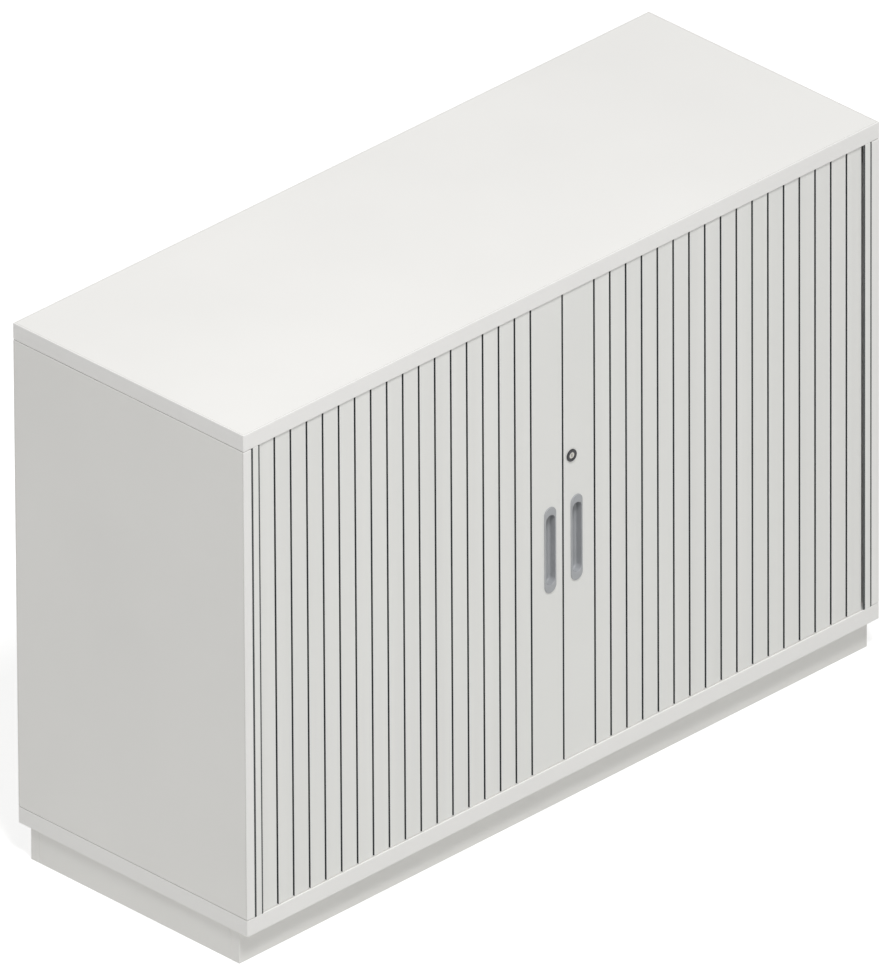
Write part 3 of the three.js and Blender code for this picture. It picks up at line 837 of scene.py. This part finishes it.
class CABINET_OT_lock(bpy.types.Operator):
    """Lock barrel with its bezel, plug with its key slot, nut, hook and strike"""

    bl_idname = "cabinet.lock"
    bl_label = "Lock"

    def execute(self, context):
        size = sizes()
        self.make_barrel(size)
        self.make_plug(size)
        for node in ("lock_nut", "lock_hook", "lock_strike"):
            bm = mesh_copy(node)
            break_edges(bm)
            stand_for(new_object(node + "_plate", bm, (zinc_plate,)), node)
        return {"FINISHED"}

    def make_barrel(self, size):
        """The turned barrel with its dished bezel, open through for the plug."""
        low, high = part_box("lock_barrel")
        bezel = high.x - low.x
        flat = bezel - 2 * size.bezel_chamfer
        dish = flat - 2 * size.bezel_rim
        bore = size.bore_diameter
        barrel = size.barrel_diameter
        bezel_back = low.y + size.bezel_thickness
        bm = bmesh.new()
        loops = loft(bm, middle_of("lock_barrel"), (
            (bore, bore, low.y + size.bezel_dish), (dish, dish, low.y), (flat, flat, low.y),
            (bezel, bezel, low.y + size.bezel_chamfer), (bezel, bezel, bezel_back),
            (barrel, barrel, bezel_back), (barrel, barrel, high.y), (bore, bore, high.y),
        ), size.round_steps, through=True)
        dish_and_front = loops[:4]
        for loop in dish_and_front:
            bevel(bm, loop, size.fine_radius, size.fine_steps)
        stand_for(new_object("lock_barrel_bezel", bm, (black_nickel,)), "lock_barrel")

    def make_plug(self, size):
        """The turned plug with its key slot, and the square tail that carries the hook."""
        low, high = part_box("lock_plug")
        centre = middle_of("lock_plug")
        plug = (high.x - low.x, high.x - low.x)
        slot = (size.key_slot_length, size.key_slot_width)
        shoulder = high.y - size.tail_length
        bm = bmesh.new()
        _, face_edge, slot_edge, _ = loft(bm, centre, (
            (*plug, shoulder), (*plug, low.y),
            (*slot, low.y), (*slot, low.y + size.key_slot_depth),
        ), size.round_steps)
        bevel(bm, face_edge, size.fine_radius, size.fine_steps)
        bevel(bm, slot_edge, size.fine_radius / 2, CHAMFER)
        tail = Matrix.Translation((centre.x, (shoulder + high.y) / 2, centre.z)) @ Matrix.Diagonal(
            (size.tail_side, size.tail_length, size.tail_side, 1))
        made = bmesh.ops.create_cube(bm, size=1.0, matrix=tail)
        bevel(bm, edges_at(made["verts"]), size.fine_radius, CHAMFER)
        stand_for(new_object("lock_plug_core", bm, (satin_nickel,)), "lock_plug")


class CABINET_OT_shelf_rails(bpy.types.Operator):
    """The aluminium angle under each end of the shelf"""

    bl_idname = "cabinet.shelf_rails"
    bl_label = "Shelf rails"

    def execute(self, context):
        for side in SIDES:
            node = f"{side}_shelf_rail"
            bm = mesh_copy(node)
            break_edges(bm)
            stand_for(new_object(node + "_angle", bm, (mill_aluminium,)), node)
            low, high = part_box(node)
            inwards = 1 if side == "left" else -1
            wall = low.x if side == "left" else high.x
            places = [(wall + inwards * sizes().rail_thickness, y, (low.z + high.z) / 2)
                      for y in row(low.y, high.y, sizes().screw_end, sizes().screw_pitch)]
            screw_heads(f"{side}_rail_screws", node, places, (inwards, 0, 0))
        return {"FINISHED"}


# Stage

CAMERA_AZIMUTH = 44.807  # degrees, from the view along +Y towards the cabinet's left end
CAMERA_ELEVATION = 29.648
CAMERA_ROLL = -0.308
CAMERA_DISTANCE = 54.057
CAMERA_LENS = 1500.0  # millimetres: so long that the picture is nearly a parallel projection
IMAGE_LONG_SIDE = 968  # pixels
SHIFT_RIGHT = 5.424  # pixels
SHIFT_DOWN = 3.974

FLOOR_RADIUS = 12.0  # metres
FLOOR_DROP = 0.2 * MM  # keeps the floor clear of the plinth's underside
FLOOR_LIFT = 0.64  # light that the floor adds where the camera sees it, so that it comes out white
WORLD_STRENGTH = 0.46
KEY_PLACE = (-1.9, -3.4, 7.0)
KEY_TARGET = (0, 0, 0.4)
KEY_SIZE = 1.8  # metres across
KEY_POWER = 330  # watts


def background_rays(tree):
    """1 for the rays that show the background: the camera's, and those that metal or glass
    sends."""
    path = add_node(tree, "LightPath").outputs
    shown = path["Is Camera Ray"]
    for kind in ("Is Glossy Ray", "Is Transmission Ray"):
        shown = add_node(tree, "Math", {0: shown, 1: path[kind]}, operation="MAXIMUM").outputs[0]
    return shown


def studio_floor():
    """Matt painted studio floor: pale, with a trace of unevenness. It shows white to the camera,
    and keeps the shadow."""
    material, tree, shader, place = start_material("studio_floor", Specular_IOR_Level=0.1)
    patch = noise(tree, place, FLOOR_PATCH)
    paint(tree, shader, colours().floor, patch, 0.01)
    roughen(tree, shader, patch, 0.85, 0.95)
    matt = add_node(tree, "BsdfDiffuse", {"Color": tuple(colours().seen_floor)})
    lift = add_node(tree, "Emission", {"Color": WHITE, "Strength": FLOOR_LIFT})
    seen = add_node(tree, "AddShader", {0: matt.outputs[0], 1: lift.outputs[0]})
    mix = add_node(tree, "MixShader", {
        0: background_rays(tree), 1: shader.outputs[0], 2: seen.outputs[0],
    })
    tree.links.new(mix.outputs[0], tree.nodes["Material Output"].inputs["Surface"])
    return material


def set_world():
    """Even studio light, and a white background for the camera, metal and glass."""
    world = bpy.data.worlds.new("studio")
    bpy.context.scene.world = world
    world.use_nodes = True
    tree = world.node_tree
    light = tree.nodes["Background"]
    light.inputs["Color"].default_value = WHITE
    light.inputs["Strength"].default_value = WORLD_STRENGTH
    bright = add_node(tree, "Background", {"Color": WHITE, "Strength": 1.0})
    mix = add_node(tree, "MixShader", {
        0: background_rays(tree), 1: light.outputs[0], 2: bright.outputs[0],
    })
    tree.links.new(mix.outputs[0], tree.nodes["World Output"].inputs["Surface"])


def set_key_light():
    """A round soft light, high in front and to the left."""
    data = bpy.data.lights.new("key", "AREA")
    data.shape = "DISK"
    data.size = KEY_SIZE
    data.energy = KEY_POWER
    lamp = bpy.data.objects.new("key", data)
    lamp.location = KEY_PLACE
    aim = Vector(KEY_TARGET) - Vector(KEY_PLACE)
    lamp.rotation_euler = aim.to_track_quat("-Z", "Y").to_euler()
    bpy.context.scene.collection.objects.link(lamp)


def set_camera():
    """The picture's own view of the cabinet."""
    data = bpy.data.cameras.new("camera")
    data.lens = CAMERA_LENS
    data.clip_end = 2 * CAMERA_DISTANCE
    data.shift_x = -SHIFT_RIGHT / IMAGE_LONG_SIDE
    data.shift_y = SHIFT_DOWN / IMAGE_LONG_SIDE
    camera = bpy.data.objects.new("camera", data)
    low, high = CAD_BOX
    azimuth = math.radians(-CAMERA_AZIMUTH)
    elevation = math.radians(CAMERA_ELEVATION)
    back = Vector((
        math.sin(azimuth) * math.cos(elevation),
        -math.cos(azimuth) * math.cos(elevation),
        math.sin(elevation),
    ))
    turn = back.to_track_quat("Z", "Y").to_matrix().to_4x4()
    roll = Matrix.Rotation(math.radians(CAMERA_ROLL), 4, "Z")
    place = Matrix.Translation((low + high) / 2 + back * CAMERA_DISTANCE)
    camera.matrix_world = place @ turn @ roll
    bpy.context.scene.collection.objects.link(camera)
    bpy.context.scene.camera = camera


class CABINET_OT_stage(bpy.types.Operator):
    """Floor, light and camera"""

    bl_idname = "cabinet.stage"
    bl_label = "Stage"

    def execute(self, context):
        bm = bmesh.new()
        bmesh.ops.create_circle(
            bm, cap_ends=True, segments=sizes().round_steps, radius=FLOOR_RADIUS,
        )
        bmesh.ops.translate(bm, verts=bm.verts, vec=(0, 0, -FLOOR_DROP))
        floor = new_object("floor", bm, (studio_floor,))
        set_world()
        set_key_light()
        set_camera()
        context.scene.view_settings.view_transform = "Standard"
        return {"FINISHED"}


OPERATORS = (
    CABINET_OT_boards,
    CABINET_OT_plinth,
    CABINET_OT_backs,
    CABINET_OT_slats,
    CABINET_OT_jambs,
    CABINET_OT_lead_stiles,
    CABINET_OT_pulls,
    CABINET_OT_lock,
    CABINET_OT_shelf_rails,
    CABINET_OT_stage,
)


class CABINET_PT_sidebar(bpy.types.Panel):
    """Lists the operators and the sizes and colours that they use"""

    bl_label = "Tambour cabinet"
    bl_idname = "CABINET_PT_sidebar"
    bl_space_type = "VIEW_3D"
    bl_region_type = "UI"
    bl_category = "Cabinet"

    def draw(self, context):
        for operator in OPERATORS:
            self.layout.operator(operator.bl_idname)
        for group in (context.scene.cabinet_sizes, context.scene.cabinet_colours):
            for name in group.__annotations__:
                self.layout.prop(group, name)


CLASSES = (CabinetSizes, CabinetColours, *OPERATORS, CABINET_PT_sidebar)


def register():
    for made in CLASSES:
        bpy.utils.register_class(made)
    bpy.types.Scene.cabinet_sizes = bpy.props.PointerProperty(type=CabinetSizes)
    bpy.types.Scene.cabinet_colours = bpy.props.PointerProperty(type=CabinetColours)


def unregister():
    del bpy.types.Scene.cabinet_colours
    del bpy.types.Scene.cabinet_sizes
    for made in reversed(CLASSES):
        bpy.utils.unregister_class(made)


def main():
    register()
    bpy.ops.cabinet.boards()
    bpy.ops.cabinet.plinth()
    bpy.ops.cabinet.backs()
    bpy.ops.cabinet.slats()
    bpy.ops.cabinet.jambs()
    bpy.ops.cabinet.lead_stiles()
    bpy.ops.cabinet.pulls()
    bpy.ops.cabinet.lock()
    bpy.ops.cabinet.shelf_rails()
    bpy.ops.cabinet.stage()


if __name__ == "__main__":
    main()
